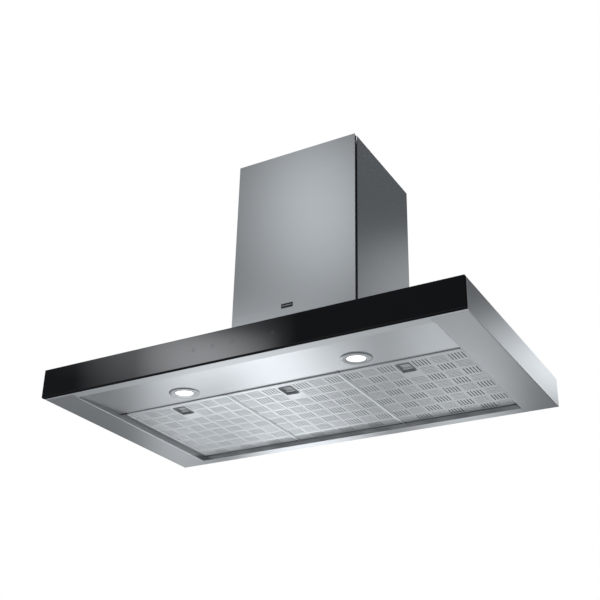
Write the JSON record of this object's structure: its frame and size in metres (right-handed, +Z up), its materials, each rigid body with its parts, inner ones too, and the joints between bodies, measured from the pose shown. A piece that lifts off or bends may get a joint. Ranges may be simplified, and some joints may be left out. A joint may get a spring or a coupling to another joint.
{
  "type": "range hood",
  "caption": "Wall-mounted chimney range hood: flat canopy with a black glass front, lamps and latched grease filters underneath, blower, duct collar and telescopic chimney.",
  "frame": {"origin": "middle of the canopy's rectangular underside, in the plane of its rims", "axes": "+X to the right across the width as seen from the cook, +Y to the wall, +Z up"},
  "size_m": [0.9, 0.5, 0.578],
  "materials": {
    "steel": "brushed",
    "black_glass": "polished, printed black on the rear",
    "aluminium": "satin",
    "galvanised": "matt zinc coat",
    "chrome": "polished",
    "lens": "frosted",
    "black_plastic": "matt",
    "grey_plastic": "matt",
    "white_plastic": "matt",
    "board": "solder mask",
    "spring_steel": "bright",
    "cable": "matt"
  },
  "bodies": {
    "hood": {"blower_case": "galvanised", "bracket_lower": "galvanised", "cable_gland": "black_plastic", "canopy_back": "galvanised", "canopy_top": "steel", "chimney_front": "steel", "chimney_side_left": "steel", "chimney_side_right": "steel", "control_board": "board", "control_housing": "black_plastic", "corner_strip_left": "black_plastic", "corner_strip_right": "black_plastic", "damper_pin": "spring_steel", "divider_left": "steel", "divider_right": "steel", "front_trim": "steel", "glass_front": "black_glass", "lamp_bezel_left": "chrome", "lamp_bezel_right": "chrome", "lamp_can_left": "black_plastic", "lamp_can_right": "black_plastic", "lamp_driver": "white_plastic", "lamp_lead_left": "cable", "lamp_lead_right": "cable", "lamp_lens_left": "lens", "lamp_lens_right": "lens", "light_panel": "steel", "motor": "galvanised", "motor_mount": "galvanised", "outlet_collar": "black_plastic", "rim_left": "steel", "rim_rear": "steel", "rim_right": "steel", "scroll_left": "black_plastic", "scroll_right": "black_plastic", "side_panel_left": "steel", "side_panel_right": "steel", "terminal_box": "black_plastic", "terminal_lid": "black_plastic"},
    "filter_left": {"filter_left_tray": "aluminium", "filter_left_mesh": "aluminium", "filter_left_latch_cup": "grey_plastic", "filter_left_latch_spring": "spring_steel"},
    "latch_left": {"filter_left_latch": "grey_plastic"},
    "filter_middle": {"filter_middle_tray": "aluminium", "filter_middle_mesh": "aluminium", "filter_middle_latch_cup": "grey_plastic", "filter_middle_latch_spring": "spring_steel"},
    "latch_middle": {"filter_middle_latch": "grey_plastic"},
    "filter_right": {"filter_right_tray": "aluminium", "filter_right_mesh": "aluminium", "filter_right_latch_cup": "grey_plastic", "filter_right_latch_spring": "spring_steel"},
    "latch_right": {"filter_right_latch": "grey_plastic"},
    "impeller": {"impeller": "white_plastic", "motor_shaft": "spring_steel"},
    "damper_left": {"damper_flap_left": "black_plastic"},
    "damper_right": {"damper_flap_right": "black_plastic"},
    "upper_chimney": {"chimney_upper": "steel", "bracket_upper": "galvanised"}
  },
  "joints": [
    {"name": "filter_left_drop", "type": "hinge", "parent": "hood", "child": "filter_left", "pos_m": [-0.251, 0.22, 0.012], "axis": [1, 0, 0], "range_deg": [0, 60]},
    {"name": "filter_middle_drop", "type": "hinge", "parent": "hood", "child": "filter_middle", "pos_m": [0, 0.22, 0.012], "axis": [1, 0, 0], "range_deg": [0, 60]},
    {"name": "filter_right_drop", "type": "hinge", "parent": "hood", "child": "filter_right", "pos_m": [0.251, 0.22, 0.012], "axis": [1, 0, 0], "range_deg": [0, 60]},
    {"name": "latch_left_slide", "type": "slide", "parent": "filter_left", "child": "latch_left", "axis": [0, 1, 0], "range_m": [0, 0.006], "stiffness_N_per_m": 400, "springref_m": -0.003, "deforming": ["filter_left_latch_spring"]},
    {"name": "latch_middle_slide", "type": "slide", "parent": "filter_middle", "child": "latch_middle", "axis": [0, 1, 0], "range_m": [0, 0.006], "stiffness_N_per_m": 400, "springref_m": -0.003, "deforming": ["filter_middle_latch_spring"]},
    {"name": "latch_right_slide", "type": "slide", "parent": "filter_right", "child": "latch_right", "axis": [0, 1, 0], "range_m": [0, 0.006], "stiffness_N_per_m": 400, "springref_m": -0.003, "deforming": ["filter_right_latch_spring"]},
    {"name": "impeller_spin", "type": "hinge", "parent": "hood", "child": "impeller", "pos_m": [0, 0.066, 0.165], "axis": [1, 0, 0], "continuous": true},
    {"name": "damper_left_open", "type": "hinge", "parent": "hood", "child": "damper_left", "pos_m": [0, 0.124, 0.32], "axis": [0, 1, 0], "range_deg": [0, 75]},
    {"name": "damper_right_open", "type": "hinge", "parent": "hood", "child": "damper_right", "pos_m": [0, 0.124, 0.32], "axis": [0, -1, 0], "range_deg": [0, 75]},
    {"name": "chimney_slide", "type": "slide", "parent": "hood", "child": "upper_chimney", "axis": [0, 0, 1], "range_m": [0, 0.4]}
  ]
}
